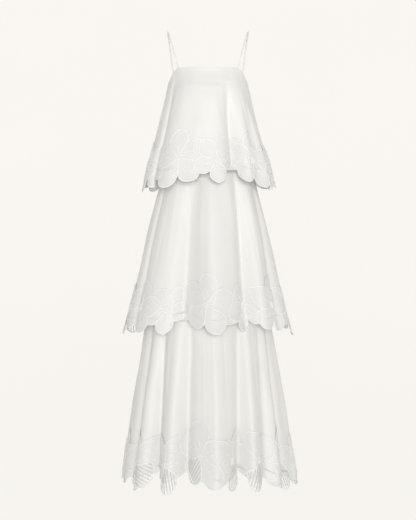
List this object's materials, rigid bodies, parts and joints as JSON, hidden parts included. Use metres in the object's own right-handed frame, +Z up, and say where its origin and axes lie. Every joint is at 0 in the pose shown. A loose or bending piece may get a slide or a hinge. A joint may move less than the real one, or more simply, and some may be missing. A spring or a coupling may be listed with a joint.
{
  "type": "maxi dress",
  "caption": "Sleeveless three-tier maxi dress with spaghetti straps and a scalloped cutwork blossom border on each hem, in its worn shape.",
  "frame": {"origin": "point midway between the tops of the two shoulder straps, where the wearer's shoulders carry the dress", "axes": "+Z up along the dress, -Y the front, +X to the viewer's right in the front view"},
  "size_m": [0.5697, 0.4736, 1.4757],
  "materials": {
    "crepe": "soft satin-backed crepe",
    "cutwork": "embroidered cutwork",
    "lining": "plain lining",
    "strap": "bias rouleau"
  },
  "bodies": {
    "root": {"top_tier_front": "crepe", "top_tier_back": "crepe", "top_tier_lace_front": "cutwork", "top_tier_lace_back": "cutwork", "under_bodice_front": "lining", "under_bodice_back": "lining", "middle_tier_front": "crepe", "middle_tier_back": "crepe", "middle_tier_lace_front": "cutwork", "middle_tier_lace_back": "cutwork", "under_skirt_front": "lining", "under_skirt_back": "lining", "bottom_tier_front": "crepe", "bottom_tier_back": "crepe", "bottom_tier_lace_front": "cutwork", "bottom_tier_lace_back": "cutwork", "strap_left": "strap", "strap_right": "strap"}
  },
  "joints": []
}
